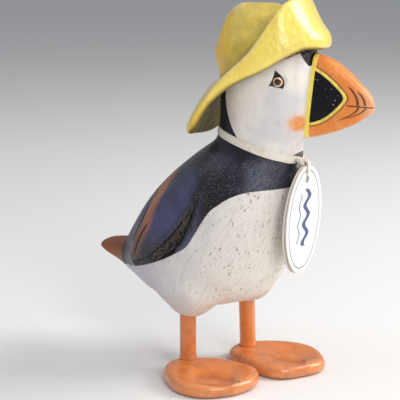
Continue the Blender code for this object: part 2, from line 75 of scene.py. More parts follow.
class Sock:
    def __init__(self, graph, out):
        self.graph = graph
        self.out = out

    def calc(self, operation, *others):
        values = dict(enumerate((self,) + others))
        return self.graph.node("ShaderNodeMath", {"operation": operation}, values)

    def part(self, name):
        return Sock(self.graph, self.out.node.outputs[name])

    def __add__(self, other):
        return self.calc("ADD", other)

    def __sub__(self, other):
        return self.calc("SUBTRACT", other)

    def __rsub__(self, other):
        return self.graph.node("ShaderNodeMath", {"operation": "SUBTRACT"}, {0: other, 1: self})

    def __mul__(self, other):
        return self.calc("MULTIPLY", other)

    def __truediv__(self, other):
        return self.calc("DIVIDE", other)

    def __pow__(self, other):
        return self.calc("POWER", other)

    def __abs__(self):
        return self.calc("ABSOLUTE")

    __radd__ = __add__
    __rmul__ = __mul__


class Graph:
    # One material; look is the dictionary that names its colours.
    def __init__(self, name, look):
        self.look = look
        self.material = bpy.data.materials.new(name)
        self.material.use_nodes = True
        self.nodes = self.material.node_tree.nodes
        self.links = self.material.node_tree.links
        self.shader = self.nodes["Principled BSDF"]

    def node(self, kind, settings, values):
        made = self.nodes.new(kind)
        for key, value in settings.items():
            setattr(made, key, value)
        for key, value in values.items():
            self.put(made.inputs[key], value)
        return Sock(self, next(out for out in made.outputs if out.enabled))

    def put(self, socket, value):
        if isinstance(value, Sock):
            self.links.new(value.out, socket)
        else:
            socket.default_value = value

    def feed(self, **values):
        # Underscores in the names stand for spaces.
        for key, value in values.items():
            self.put(self.shader.inputs[key.replace("_", " ")], value)

    def vector(self, x, y, z):
        return self.node("ShaderNodeCombineXYZ", {}, {"X": x, "Y": y, "Z": z})

    def noise(self, vector, scale, detail):
        values = {"Vector": vector, "Scale": scale, "Detail": detail}
        return self.node("ShaderNodeTexNoise", {}, values)

    def mix(self, share, first, second):
        # A colour is a socket, or a name in the piece's dictionary.
        values = {0: share}
        for slot, colour in ((6, first), (7, second)):
            values[slot] = colour if isinstance(colour, Sock) else (*self.look[colour], 1)
        return self.node("ShaderNodeMix", {"data_type": "RGBA"}, values)

    def coats(self, ground, layers):
        # Each layer is a share and a colour, laid over those before it.
        for share, colour in layers:
            ground = self.mix(share, ground, colour)
        return ground

    def bump(self, height, distance):
        return self.node("ShaderNodeBump", {}, {"Height": height, "Distance": distance * mm})

    def attribute(self, name):
        return self.node("ShaderNodeAttribute", {"attribute_name": name}, {}).part("Fac")

    def place(self):
        xyz = self.node("ShaderNodeTexCoord", {}, {}).part("Object")
        split = self.node("ShaderNodeSeparateXYZ", {}, {"Vector": xyz})
        at = Place(split.part("X"), split.part("Y"), split.part("Z"))
        at.xyz = self.vector(at.side, at.forward, at.up)
        return at

    def weave(self):
        # Millimetres along and across, from the piece's own UV map.
        uv = self.node("ShaderNodeUVMap", {"uv_map": "weave"}, {})
        split = self.node("ShaderNodeSeparateXYZ", {}, {"Vector": uv})
        return split.part("X"), split.part("Y")


# Formulas that work on sockets, for paint, and on arrays, for relief.

class Place:
    # Millimetres in the bird's own directions, from coordinates in metres.
    def __init__(self, x, y, z):
        cos, sin = math.cos(bird["headTurn"]), math.sin(bird["headTurn"])
        self.side = (x - bird["middle"]) * 1000
        self.forward = (bird["zero"] - y) * 1000
        self.up = z * 1000
        # Forward and side once more, turned with the head about its axis.
        front = self.forward - bird["neckForward"]
        self.ahead = front * cos + self.side * sin
        self.aside = self.side * cos - front * sin


def world(side, forward, up):
    # The other way: a place in metres from millimetres in the bird's directions.
    return Vector((bird["middle"] + side * mm, bird["zero"] - forward * mm, up * mm))


def step(value, low, high):
    # 0 at low, 1 at high, smooth between.
    if isinstance(value, Sock):
        values = {"Value": value, "From Min": low, "From Max": high}
        kind = {"interpolation_type": "SMOOTHSTEP"}
        return value.graph.node("ShaderNodeMapRange", kind, values)
    share = np.clip((value - low) / (high - low), 0, 1)
    return share * share * (3 - 2 * share)


def softMin(first, second, reach):
    # The lesser of two values, rounded where they cross.
    if isinstance(first, Sock):
        return first.calc("SMOOTH_MIN", second, reach)
    near = np.maximum(reach - abs(first - second), 0) / reach
    return np.minimum(first, second) - near ** 3 * reach / 6


def larger(first, second):
    if isinstance(first, Sock):
        return first.calc("MAXIMUM", second)
    return np.maximum(first, second)


def hill(value, width):
    # 1 where value is 0, falling to 0 at width on both sides.
    return 1 - step(abs(value), 0, width)


def between(value, low, full, fade, high):
    # 0 up to low, 1 from full to fade, 0 again from high.
    return step(value, low, full) * step(value, high, fade)


def sway(noise, span):
    # A noise of 0 to 1 as a wander to both sides, span from end to end.
    return (noise - 0.5) * span


def below(line, forward, up):
    # Distance below a line that gives height by place forward; negative above it.
    slope = line(forward + 0.5) - line(forward - 0.5)
    return (line(forward) - up) / (slope * slope + 1) ** 0.5


def headReach(at, spot):
    # Distance from a spot on the side of the head, given as (forward, up).
    return ((at.ahead - spot[0]) ** 2 + (at.up - spot[1]) ** 2) ** 0.5


def hatPlane(at):
    return bird["hatHeight"] + bird["hatRise"] * at.ahead


def collarLine(forward, side):
    # The middle of the tape round the neck; the tag pulls it down on the left.
    behind = forward - 11.7
    line = 127.3 - 0.2 * behind - 0.0042 * behind * behind
    return line - 1.6 * step(forward, 43, 49) - 3.2 * step(side, -3, 9) * step(forward, 28, 44)


# Meshes.

def linked(name, data):
    obj = bpy.data.objects.new(name, data)
    bpy.context.scene.collection.objects.link(obj)
    return obj


def built(name, bm, material):
    # A new object from bm, which is used up.
    mesh = bpy.data.meshes.new(name)
    bm.to_mesh(mesh)
    bm.free()
    mesh.materials.append(material)
    return linked(name, mesh)


def opened(*meshes):
    bm = bmesh.new()
    for mesh in meshes:
        bm.from_mesh(mesh)
    return bm


def addCopy(bm, node):
    # Merged copy of a CAD node; returns its vertices.
    before = set(bm.verts)
    bm.from_mesh(frame["nodes"][node].data)
    fresh = [v for v in bm.verts if v not in before]
    bmesh.ops.remove_doubles(bm, verts=fresh, dist=weld)
    return [v for v in bm.verts if v not in before]


def copied(*nodes):
    bm = bmesh.new()
    for node in nodes:
        addCopy(bm, node)
    return bm


def swell(bm, amount):
    # Outwards, so that the smoothing that follows draws the skin back to size.
    bm.normal_update()
    moves = [(v, v.normal * min(v.calc_shell_factor(), 1.5)) for v in bm.verts]
    for v, out in moves:
        v.co += out * amount * mm


def settle(obj):
    # The modifiers' result becomes the mesh.
    graph = bpy.context.evaluated_depsgraph_get()
    final = bpy.data.meshes.new_from_object(obj.evaluated_get(graph))
    obj.modifiers.clear()
    obj.data = final


def subdivided(obj, levels):
    finer = obj.modifiers.new("finer", "SUBSURF")
    finer.levels = levels
    finer.render_levels = levels
    settle(obj)


def largestShell(obj):
    # Stray bubbles inside the solid go; only the outer skin stays.
    bm = opened(obj.data)
    left, best = set(bm.verts), set()
    while left:
        queue = [left.pop()]
        shell = set(queue)
        while queue:
            vert = queue.pop()
            fresh = {edge.other_vert(vert) for edge in vert.link_edges} - shell
            shell |= fresh
            queue.extend(fresh)
        left -= shell
        best = max(best, shell, key=len)
    bmesh.ops.delete(bm, geom=[v for v in bm.verts if v not in best], context="VERTS")
    bm.to_mesh(obj.data)
    bm.free()


def skin(name, bm, material, look):
    # One smooth closed skin over the solids in bm.
    obj = built(name, bm, material)
    remesh = obj.modifiers.new("remesh", "REMESH")
    remesh.mode = "VOXEL"
    remesh.voxel_size = look["voxel"] * mm
    remesh.use_smooth_shade = True
    smooth = obj.modifiers.new("smooth", "SMOOTH")
    smooth.factor = 0.5
    smooth.iterations = look["smooth"]
    settle(obj)
    largestShell(obj)
    return obj


def rows(obj, what):
    # A row of three numbers per vertex: its place "co" or its "normal".
    flat = np.empty(len(obj.data.vertices) * 3, np.float32)
    obj.data.vertices.foreach_get(what, flat)
    return flat.reshape(-1, 3).astype(float)


def moved(obj, co):
    obj.data.vertices.foreach_set("co", co.ravel())
    obj.data.update()


def marked(obj, name, values):
    # A value per vertex, 0 to 1, that the paint reads by its name.
    layer = obj.data.attributes.new(name, "FLOAT", "POINT")
    layer.data.foreach_set("value", np.clip(values, 0, 1).astype(np.float32))


def relief(obj, height):
    # Moves each vertex along its normal by height(place), in millimetres.
    co = rows(obj, "co")
    amount = height(Place(*co.T))
    moved(obj, co + rows(obj, "normal") * amount[:, None] * mm)


def evened(obj, values, rounds=3):
    # Rows of values per vertex, averaged with the neighbours' so many times.
    soft = np.array(values, float)
    count = len(soft)
    ends = np.empty(len(obj.data.edges) * 2, np.int32)
    obj.data.edges.foreach_get("vertices", ends)
    a, b = ends.reshape(-1, 2).T
    degree = np.bincount(a, minlength=count) + np.bincount(b, minlength=count)
    for _ in range(rounds):
        for column in range(soft.shape[1]):
            total = np.bincount(a, soft[b, column], count)
            total += np.bincount(b, soft[a, column], count)
            soft[:, column] = total / degree
    return soft


def filled(obj, rounds, share):
    # Fills hollows, and leaves what stands proud.
    co, out = rows(obj, "co"), rows(obj, "normal")
    lack = ((evened(obj, co, rounds) - co) * out).sum(1)
    moved(obj, co + out * (np.maximum(lack, 0) * share)[:, None])


def nudged(obj, centre, reach, move):
    # A thumb's push, the same on both sides: places in millimetres, side counted outwards.
    co = rows(obj, "co")
    at = Place(*co.T)
    away = (abs(at.side) - centre[0]) ** 2 + (at.forward - centre[1]) ** 2
    away = away + (at.up - centre[2]) ** 2
    share = np.exp(-away / (2 * reach * reach)) * mm
    co[:, 0] += share * move[0] * np.sign(at.side)
    co[:, 1] -= share * move[1]
    co[:, 2] += share * move[2]
    moved(obj, co)


def markEdgesAndHollows(obj, edgesAndHollows):
    # Attribute: 1 on outer edges that hands rub bare, 0 in hollows, 0.5 on flats. The hat's
    # paint puts painted shade in the hollows.
    # An edge is what stands proud by "reach" mm of the skin evened for so many rounds.
    rounds, reach = edgesAndHollows
    co = rows(obj, "co")
    proud = ((co - evened(obj, co, rounds)) * rows(obj, "normal")).sum(1) / mm
    marked(obj, "edgesAndHollows", 0.5 + 0.5 * evened(obj, proud[:, None])[:, 0] / reach)


def treeOf(mesh):
    bm = opened(mesh)
    tree = BVHTree.FromBMesh(bm)
    bm.free()
    return tree


def near(obj, name, node, low, high):
    # Attribute: 1 where the surface lies within low mm of a node's, 0 beyond high.
    tree = treeOf(frame["nodes"][node].data)
    gaps = np.array([tree.find_nearest(Vector(p))[3] for p in rows(obj, "co")]) / mm
    marked(obj, name, 1 - step(gaps, low, high))


def facing(obj, name, share):
    # Attribute from each vertex's place and normal.
    value = share(Place(*rows(obj, "co").T), rows(obj, "normal"))
    marked(obj, name, evened(obj, value[:, None])[:, 0])


def stands(obj, slot, *nodes):
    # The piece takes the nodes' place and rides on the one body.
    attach(obj, "root")
    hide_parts(*nodes)
    print(obj.name, len(obj.data.polygons), "faces")


# Trunk, wings, tail, neck and head: one carved and painted skin.

bodyLook = {
    "voxel": 1.4, "smooth": 15, "swell": 0.38,
    "plug": 31.0,       # the legs are cut off below this height
    "tuck": 3,          # the head's top goes this far up inside the hat
    # relief, in millimetres
    "wingRoll": 0.45, "gouge": 2.1, "grooves": 0.8, "eyeFlat": 0.75,
    "eyeFlatAt": (13.4, 153.6),
    "facet": 0.55,
    "nudges": (         # centre, reach, move; each as side, forward, up
        ((26, -18.5, 45), 4.5, (0.4, -1.2, -2.2)),     # behind the thigh
        ((28, -6, 38), 6, (-1, 1, 0.8)),
        ((18, -40, 47), 7, (0, 0.3, 1.8)),             # under the tail's root
        ((8, 11, 37), 9, (0, 0, 1.6)),                 # between the legs
        ((21, 7, 34), 5, (0, -0.6, 1.9)),
        ((27, -8, 34.5), 3.5, (0, -0.8, -1.1)),        # down onto the leg
    ),
    "fillRounds": 77,
    "cheekAt": (21.6, 133.3),
    "ivory": (0.80, 0.76, 0.70),
    "greyShade": (0.58, 0.56, 0.62),
    "drag": (0.40, 0.35, 0.31),
    "pit": (0.07, 0.045, 0.03),
    "rose": (0.66, 0.54, 0.46),
    "black": (0.007, 0.007, 0.011),
    "slate": (0.019, 0.020, 0.038),
    "violetSheen": (0.060, 0.064, 0.145),
    "breastSheen": (0.10, 0.105, 0.15),
    "speck": (0.25, 0.23, 0.20),
    "gold": (0.26, 0.16, 0.06),
    "wood": (0.48, 0.16, 0.05),
    "darkWood": (0.16, 0.055, 0.028),
    "cheek": (0.82, 0.29, 0.055),
    "brimStrip": (0.16, 0.07, 0.045),
    "tan": (0.58, 0.46, 0.34),
}


class BodyGrain:
    # Patches, streaks and dots that the body's coats share.
    def __init__(self, g, at):
        side = abs(at.side)
        # The brush and the knife both ran up the breast, forward and up.
        along = at.forward * 0.5 + at.up * 0.87
        across = at.forward * 0.87 - at.up * 0.5
        self.cloud = g.noise(at.xyz, 0.05, 2)
        self.blotch = g.noise(at.xyz, 0.15, 3)
        self.streak = g.noise(g.vector(across * 1.5, along * 0.12, side * 0.9), 1.0, 5)
        self.grain = g.noise(g.vector(across * 3.4, along * 0.6, side * 2.2), 1.0, 3)
        self.pit = g.noise(g.vector(across * 1.5, along * 0.42, side), 1.0, 0)
        self.dots = g.noise(at.xyz, 2.3, 1)
        self.fleck = g.noise(at.xyz, 0.95, 1)


def bellyLine(forward):
    # Where the black of the back meets the white of the belly.
    ahead = larger(forward + 62, 0)
    line = 50.19 + 0.00477 * ahead * ahead - 36 * step(forward, 21.8, 75)
    return line + 11.1 * step(forward, 1.6, 18.3) - 7 * step(forward, -46, -60)


def wingEdge(forward):
    # The wing's front edge, from the shoulder down to its tip.
    ahead = larger(forward + 22.5, 0)
    return 56.6 + 9.5 * step(forward, -38.2, -8) + ahead * ahead * (0.0333 - 0.000059 * ahead)


def gougeEdge(forward):
    # The shallow side of the hollow in front of the wing.
    ahead = larger(forward + 9.4, 0)
    line = 54.1 + 11.7 * step(forward, -32, 1) + 0.069 * ahead * ahead
    return line + 9.7 * step(forward, 5.9, 10.6)


def gouge(at):
    # Share of the hollow cut along the wing's front edge: steep there, shallow outside.
    edge = below(wingEdge, at.forward, at.up)
    outside = -1 * below(gougeEdge, at.forward, at.up)
    ends = between(at.forward, -38, -29, 5, 8.6) * step(abs(at.side), 16, 20)
    return step(edge, -0.3, 0.5) * step(outside, -0.2, 3.2) * ends


def wingGrooves(at):
    # Two long knife cuts down the back edge of the wing.
    rise = at.up - 60
    first = at.forward + 31.8 - 0.28 * rise - 0.0115 * rise * rise
    rise = at.up - 63.6
    second = at.forward + 38 - 0.74 * rise + 0.0105 * rise * rise
    lower = hill(first, 1.2) * between(at.up, 59, 65, 76, 84)
    upper = hill(second, 1.2) * between(at.up, 63, 70, 80, 88)
    return larger(lower, upper)


def eyePatch(at):
    # Distance inside the black triangle round the eye.
    low = at.up - 151.7 + 0.22 * (at.ahead - 9)
    rise = at.up - 150.3
    front = 15.4 + 0.45 * rise - 0.0975 * rise * rise - at.ahead
    rise = at.up - 151.7
    back = at.ahead - 9 - 0.6 * rise + 0.031 * rise * rise
    return softMin(softMin(low, front * 0.8, 0.4), back * 0.86, 0.4)


def whiteCoats(g, at, n):
    # Belly and cheeks; returns the colour, and where the knife left pits.
    belly = step(at.up, 118, 108)
    # Painted shade: the belly greyer towards the back. On the head the same grey lies in loose
    # patches.
    shade = step(at.forward + sway(n.cloud, 40) - 0.25 * (at.up - 60), 18, -26)
    shade = shade * belly + (1 - belly) * 0.55 * step(n.cloud, 0.38, 0.6)
    drag = step(n.streak, 0.47, 0.72) * (0.16 + 0.2 * belly)
    low = step(at.up + sway(n.blotch, 16), 47, 35)
    breast = 0.785 - 0.075 * step(at.forward, 4, 26)
    pits = step(n.pit - breast, 0, 0.04) * step(n.blotch, 0.44, 0.56) * belly
    smudge = step(n.blotch + sway(n.grain, 0.3), 0.56, 0.74) * step(at.up, 146, 132)
    reach = headReach(at, bodyLook["cheekAt"]) + sway(n.grain, 2.4)
    cheek = step(reach, 4.8, 2.6) * 0.7 + step(reach, 7.6, 3) * 0.3
    dabs = 0.55 + 0.6 * step(n.blotch + n.grain, 0.8, 1.15)
    # Tan on the head just under the hat's edge, and on the back of the head above the tape.
    underOverhang = step(hatPlane(at) - at.up + sway(n.blotch, 8), 5, 0) * 0.35
    underOverhang = larger(underOverhang, step(at.ahead, -3, -13) * step(at.up, 122, 134) * 0.4)
    white = g.coats("ivory", (
        (shade, "greyShade"),
        (drag, "drag"),
        (low * 0.35, "rose"),
        (pits * 0.6, "pit"),
        (smudge * (1 - belly) * 0.3, "drag"),
        (cheek * step(at.ahead, 6, 12) * dabs, "cheek"),
        (underOverhang, "tan"),
    ))
    return white, pits


def bareWood(g, at, n):
    # Brown wood down the wing's back edge and on the tail; returns its share and colour.
    edge = at.forward + 25.4 - 0.35 * (at.up - 72.7) + sway(n.blotch, 5)
    edge = edge + 2 * step(at.up, 80, 64) + 2.6 * step(at.up, 78, 94)
    band = step(abs(edge), 6, 1.5) * step(abs(at.side), 10, 14)
    band = band * between(at.up, 56, 66, 94, 112) * (1 - 0.35 * step(at.up, 82, 64))
    tail = step(at.forward + sway(n.blotch, 7), -50, -56) * step(at.forward, -73.4, -70)
    deep = step(n.streak + sway(n.grain, 0.2), 0.4, 0.7) * 0.55 + tail * 0.25
    deep = larger(deep, step(at.up, 86, 66) * (1 - tail) * 0.7)
    deep = larger(deep, tail * step(at.up + sway(n.blotch, 4), 52, 58) * 0.85)
    return larger(band, tail) * (0.84 + 0.1 * tail), g.mix(deep, "wood", "darkWood")


def blackCoats(g, at, n):
    side = abs(at.side)
    edge = below(wingEdge, at.forward, at.up)
    # Violet on the wing and the flank: partly the paint's own violet, partly painted sheen.
    wing = between(edge, -30, -20, -5, 0.5) * step(at.forward, 13, 3)
    wing = wing * step(side, 12, 22) * between(at.up, 60, 84, 98, 116)
    flank = step(below(gougeEdge, at.forward, at.up), 0.3, 2) * step(side, 16, 22)
    flank = flank * between(at.forward, -30, -14, 5, 14)
    blue = wing * (0.55 + 0.5 * step(n.cloud, 0.4, 0.6)) + flank * 0.9
    # Painted highlight: a slate-grey sheen on the black of the breast beside the tag.
    front = hill(at.forward + sway(n.blotch, 12) - 37, 10) * step(at.up, 118, 113)
    # Pale specks: partly pores in the paint, partly painted glints.
    poresAndGlints = larger(step(n.dots, 0.63, 0.69) * 0.75, step(n.fleck, 0.69, 0.73) * 0.5)
    poresAndGlints = poresAndGlints * step(n.blotch, 0.36, 0.5) * (1 - 0.75 * wing) * step(at.up, 120, 116)
    hollow = gouge(at)
    return g.coats("black", (
        (step(n.cloud, 0.36, 0.62) * 0.8, "slate"),
        (blue.calc("MINIMUM", 1), "violetSheen"),
        (front * (0.3 + 0.7 * step(n.streak, 0.35, 0.65)), "breastSheen"),
        (poresAndGlints, "speck"),
        (step(hollow, 0.04, 0.35), "black"),
        (step(hollow, 0.2, 0.7) * step(n.streak + n.dots * 0.6, 0.82, 0.98) * 0.8, "gold"),
        bareWood(g, at, n),
        (step(wingGrooves(at), 0.25, 0.8), "black"),
    ))


def blackPlaces(at, n):
    # 1 on the back and wings, the nape, the cap and the throat, with brushed edges.
    brush = sway(n.grain, 0.7)
    aside = abs(at.aside)
    back = step(below(bellyLine, at.forward, at.up) + brush, 0.15, -0.15)
    lower = step(collarLine(at.forward, at.side) - at.up, -0.4, 0.4)
    drop = larger(146 - at.up, 0)
    nape = step(at.ahead + 14.2 - 0.0185 * drop * drop + brush * 0.6, 0.15, -0.15)
    cap = step(at.up - 160.6 - 1.9 * (25.2 - at.ahead), -0.2, 0.2) * step(aside, 17, 14)
    throat = step(117.6 - 0.012 * aside * aside - at.up, -0.2, 0.2)
    throat = throat * step(at.ahead, 8, 12)
    head = larger(larger(nape, cap), throat)
    return larger(back * lower, head * (1 - lower))


def paintedBody():
    g = Graph("paintedBody", bodyLook)
    at = g.place()
    n = BodyGrain(g, at)
    white, pits = whiteCoats(g, at, n)
    patch = step(eyePatch(at), -0.1, 0.1) * step(at.ahead, 4, 7)
    dark = larger(blackPlaces(at, n), patch)
    # A brown strip on the head where it meets the hat's brim.
    brim = step(g.attribute("hatNear") + sway(n.grain, 0.4), 0.35, 0.65)
    brim = brim * step(at.ahead, 14, 18)
    brimStrip = g.mix(step(n.grain, 0.5, 0.62), "brimStrip", "tan")
    colour = g.coats(white, (
        (dark, blackCoats(g, at, n)),
        (patch, "black"),
        (brim * 0.9, brimStrip),
    ))
    matt = step(at.forward, -34, -52)
    rough = 0.55 - 0.2 * dark + sway(n.grain, 0.2) + 0.2 * matt
    height = n.streak * 0.55 + n.grain * 0.3 - pits * 0.8
    g.feed(Base_Color=colour, Roughness=rough, Normal=g.bump(height, 0.2),
           Specular_IOR_Level=0.32, Coat_Weight=0.03 + 0.2 * dark * (1 - matt),
           Coat_Roughness=0.25)
    return g.material


def makeBody():
    look = bodyLook
    bm = copied("leg_left", "leg_right")
    everything = bm.verts[:] + bm.edges[:] + bm.faces[:]
    bmesh.ops.bisect_plane(bm, geom=everything, dist=weld, plane_co=(0, 0, look["plug"] * mm),
                           plane_no=(0, 0, 1), clear_inner=True)
    bmesh.ops.holes_fill(bm, edges=[e for e in bm.edges if e.is_boundary])
    for node in ("tail", "trunk", "wing_left", "wing_right", "neck", "eye_left", "eye_right"):
        addCopy(bm, node)
    for v in addCopy(bm, "head"):
        at = Place(*v.co)
        if at.up > hatPlane(at) - 0.5:
            v.co.z += look["tuck"] * mm
    swell(bm, look["swell"])
    body = skin("body", bm, paintedBody(), look)
    subdivided(body, 1)

    def carve(at):
        proud = below(wingEdge, at.forward, at.up)
        roll = hill(proud + 1.6, 2.2) * between(at.forward, -36, -26, 0, 7)
        roll = look["wingRoll"] * roll * step(abs(at.side), 18, 24)
        flat = step(headReach(at, look["eyeFlatAt"]), 4.2, 2.6) * step(at.ahead, 4, 7)
        cuts = look["gouge"] * gouge(at) + look["grooves"] * wingGrooves(at)
        return roll - cuts - look["eyeFlat"] * flat

    def frontFacet(at):
        # The head's front facet comes up to the bill's stripe.
        return look["facet"] * step(at.ahead, 19, 22.5) * step(at.up, 124, 128)

    relief(body, carve)
    relief(body, frontFacet)
    for centre, reach, move in look["nudges"]:
        nudged(body, centre, reach, move)
    at = Place(*rows(body, "co").T)
    flank = step(at.up, 66, 58) * step(at.forward, 16, 2) * step(at.up, 34, 40)
    filled(body, look["fillRounds"], flank)
    near(body, "hatNear", "hat_brim", 0.5, 2.0)
    stands(body, "body_paint", "trunk", "tail", "neck", "head", "wing_left", "wing_right")
    return body


# Bill, both halves in one skin.

billLook = {
    "voxel": 0.34, "smooth": 8, "swell": 0.2,
    "back": 26,         # what lies behind this
    "tuck": 1.4,        # goes this far into the head
    # relief, in millimetres
    "bead": 0.22, "rim": 0.4, "cuts": 0.55, "stripe": 0.15, "ridge": 1.1,
    "ridgeAt": (56, 149),
    "curves": (         # cuts near the tip: reach, bend, middle, low, high, weight
        (48.5, 0.058, 142.2, 141.7, 151.5, 0.9),
        (51.8, 0.08, 142.0, 141.7, 149.2, 0.8),
        (48.8, 0.2, 141.6, 134.6, 141.9, 0.8),
        (52.0, 0.3, 141.2, 135.6, 141.5, 0.8),
    ),
    "orange": (0.79, 0.24, 0.045),
    "light": (0.84, 0.33, 0.10),
    "pale": (0.84, 0.42, 0.26),
    "deep": (0.60, 0.14, 0.04),
    "black": (0.005, 0.005, 0.008),
    "star": (0.5, 0.5, 0.5),
    "yellow": (0.90, 0.70, 0.12),
    "green": (0.50, 0.48, 0.12),
    "shadow": (0.07, 0.02, 0.012),
    "white": (0.76, 0.74, 0.72),
}


def panelTop(forward):
    ahead = forward - 25
    return 161.1 - 0.301 * ahead - 0.026 * ahead * ahead


def panelFoot(forward):
    ahead = forward - 25
    return 131.86 + 0.015 * ahead + 0.0355 * ahead * ahead


def panelInside(at):
    # Distance inside the panel, a rounded triangle on the side of the bill.
    top = below(panelTop, at.ahead, at.up)
    foot = -1 * below(panelFoot, at.ahead, at.up)
    return softMin(top, foot, 4.4)


def billStripe(at):
    # Distance ahead of the yellow stripe at the base of the bill.
    return at.ahead - 26.0 - 0.0955 * (at.up - 135.1)


def stripeStart(at):
    # Distance ahead of the edge where the head's white ends.
    return at.ahead - 24.1 - 0.098 * (at.up - 136.8)


def billCuts(at):
    # The mouth line and the curved cuts near the tip.
    mouth = at.up - 141.9 + 0.09 * (at.ahead - 44.3)
    cuts = hill(mouth, 0.55) * step(at.ahead, 42.6, 43.8)
    for reach, bend, middle, low, high, weight in billLook["curves"]:
        rise = at.up - middle
        line = (at.ahead - reach + bend * rise * rise) * 0.8
        ends = between(at.up, low - 0.3, low + 0.7, high - 1.5, high + 0.3)
        cuts = cuts + hill(line, 0.95) * ends * weight
    return cuts


def paintedBill():
    g = Graph("paintedBill", billLook)
    at = g.place()
    blotch = g.noise(at.xyz, 0.2, 3)
    grain = g.noise(g.vector(at.side * 1.8, at.forward * 0.6, at.up * 1.8), 1.0, 4)
    star = g.noise(at.xyz, 1.1, 0)
    inside = panelInside(at) + sway(grain, 0.25)
    stripe = billStripe(at) + sway(grain, 0.2)
    rim = step(inside, -0.8, -0.1) * step(stripe, -0.2, 0.2)
    bead = g.mix(step(blotch, 0.45, 0.6) * 0.6, "yellow", "green")
    glass = step(inside, 1.3, 1.5)
    panel = g.mix(step(star, 0.82, 0.832), "black", "star")
    base = g.mix(step(at.up, 160.3, 160.7), "white", "black")
    colour = g.coats("orange", (
        (step(blotch, 0.44, 0.66) * 0.5, "light"),
        (step(grain, 0.52, 0.7) * 0.4, "deep"),
        (step(at.ahead + sway(grain, 6), 47, 54) * 0.6, "pale"),
        (rim * 0.8, "shadow"),
        (step(inside, -0.1, 0.15), bead),
        (glass, panel),
        (step(billCuts(at), 0.15, 0.8) * step(inside, 0, -0.5) * 0.9, "shadow"),
        (step(stripe, 0.12, -0.12), "yellow"),
        (step(stripeStart(at), 0.12, -0.12), base),
    ))
    g.feed(Base_Color=colour, Roughness=0.38 + sway(grain, 0.25), Normal=g.bump(grain, 0.18),
           Specular_IOR_Level=0.18, Coat_Weight=0.34 - glass * 0.33, Coat_Roughness=0.2)
    return g.material


def makeBill():
    look = billLook
    bm = copied("bill_upper", "bill_lower")
    swell(bm, look["swell"])
    inwards = Matrix.Rotation(bird["headTurn"], 3, "Z") @ Vector((0, look["tuck"] * mm, 0))
    for v in bm.verts:
        if Place(*v.co).ahead < look["back"]:
            v.co += inwards
    bill = skin("bill", bm, paintedBill(), look)

    def carve(at):
        inside = panelInside(at)
        ahead = step(billStripe(at), 0, 0.6)
        bead = look["bead"] * hill(inside - 0.75, 0.9) * ahead
        rim = look["rim"] * hill(inside + 0.45, 0.6) * ahead
        cuts = look["cuts"] * billCuts(at) * step(inside, 0, -0.6)
        stripe = look["stripe"] * step(billStripe(at), 0.3, -0.3)
        ridge = hill(headReach(at, look["ridgeAt"]), 8) * step(abs(at.aside), 6, 2)
        return bead - rim - cuts + stripe + look["ridge"] * ridge

    relief(bill, carve)
    stands(bill, "bill_paint", "bill_upper", "bill_lower")


# Hat: crown and turned-up brim carved from one block.

hatLook = {
    "voxel": 0.62, "smooth": 9, "swell": 0.36,
    # The same rounds and reach find the hollows, which take painted shade.
    "edgesAndHollows": (60, 0.7),   # rounds, and reach in millimetres, of the worn edges
    "lipAhead": 1.3,    # the front lip rolls forward
    "lipDown": 1.6,     # and down
    "lemon": (0.92, 0.72, 0.13),
    "pale": (0.80, 0.63, 0.13),
    "gold": (0.84, 0.52, 0.05),
    "olive": (0.38, 0.28, 0.045),
    "crown": (0.60, 0.44, 0.055),
    "topShade": (0.70, 0.57, 0.28),
    "worn": (0.76, 0.58, 0.38),
    "underShade": (0.13, 0.105, 0.012),
}


def glossHat():
    g = Graph("glossHat", hatLook)
    at = g.place()
    blotch = g.noise(at.xyz, 0.07, 3)
    cloud = g.noise(at.xyz, 0.17, 2)
    grain = g.noise(g.vector(at.side * 0.5, at.forward * 0.5, at.up * 1.2), 1.0, 1)
    dimple = g.noise(at.xyz, 0.16, 2)
    edgesAndHollows, crown = g.attribute("edgesAndHollows"), g.attribute("crown")
    top, underShade = g.attribute("top"), g.attribute("underShade")
    low = step(at.up + sway(blotch, 12), 158, 126)
    # Painted shade on the crown: darker mustard with olive patches, more olive towards the
    # flap; the gold at the back is painted bounce light.
    crownShade = g.coats("crown", (
        (step(cloud, 0.35, 0.7) * 0.5, "olive"),
        (step(at.ahead + sway(blotch, 6), -7, -18) * 0.8, "gold"),
        (step(at.ahead, 4, 16) * 0.6, "olive"),
    ))
    edge = step(edgesAndHollows + sway(grain, 0.3), 0.78, 0.98) * top * step(at.ahead, 14, 2)
    colour = g.coats("lemon", (
        (step(at.ahead, 8, 24), "pale"),
        (step(blotch, 0.46, 0.7) * 0.3, "gold"),
        (low * 0.85, "gold"),
        # Painted shade: the brim's upward faces a darker beige.
        (top * (0.7 + sway(cloud, 0.4)), "topShade"),
        (crown * 0.9, crownShade),
        # Painted shade: olive in the hollows.
        (step(edgesAndHollows, 0.34, 0.1) * 0.6, "olive"),
        # Painted shade on the side turned to the neck and on faces that look down.
        (underShade * 0.9, "underShade"),
        (edge * 0.75, "worn"),
    ))
    rough = 0.27 + edge * 0.2 + sway(grain, 0.1) + crown * 0.14 + underShade * 0.3
    coat = 0.5 - edge * 0.4 - crown * 0.3 - underShade * 0.5 - top * 0.3
    g.feed(Base_Color=colour, Roughness=rough, Normal=g.bump(dimple + grain * 0.05, 1.3),
           Coat_Weight=larger(coat, 0), Coat_Roughness=0.13)
    return g.material


def lipRolled(hat):
    co = rows(hat, "co")
    at = Place(*co.T)
    front = step(at.ahead, 23, 31)
    ahead = front * step(at.up, 182, 174) * hatLook["lipAhead"] * mm
    co[:, 0] += ahead * math.sin(bird["headTurn"])
    co[:, 1] -= ahead * math.cos(bird["headTurn"])
    co[:, 2] -= front * step(at.up, 177, 171) * hatLook["lipDown"] * mm
    moved(hat, co)


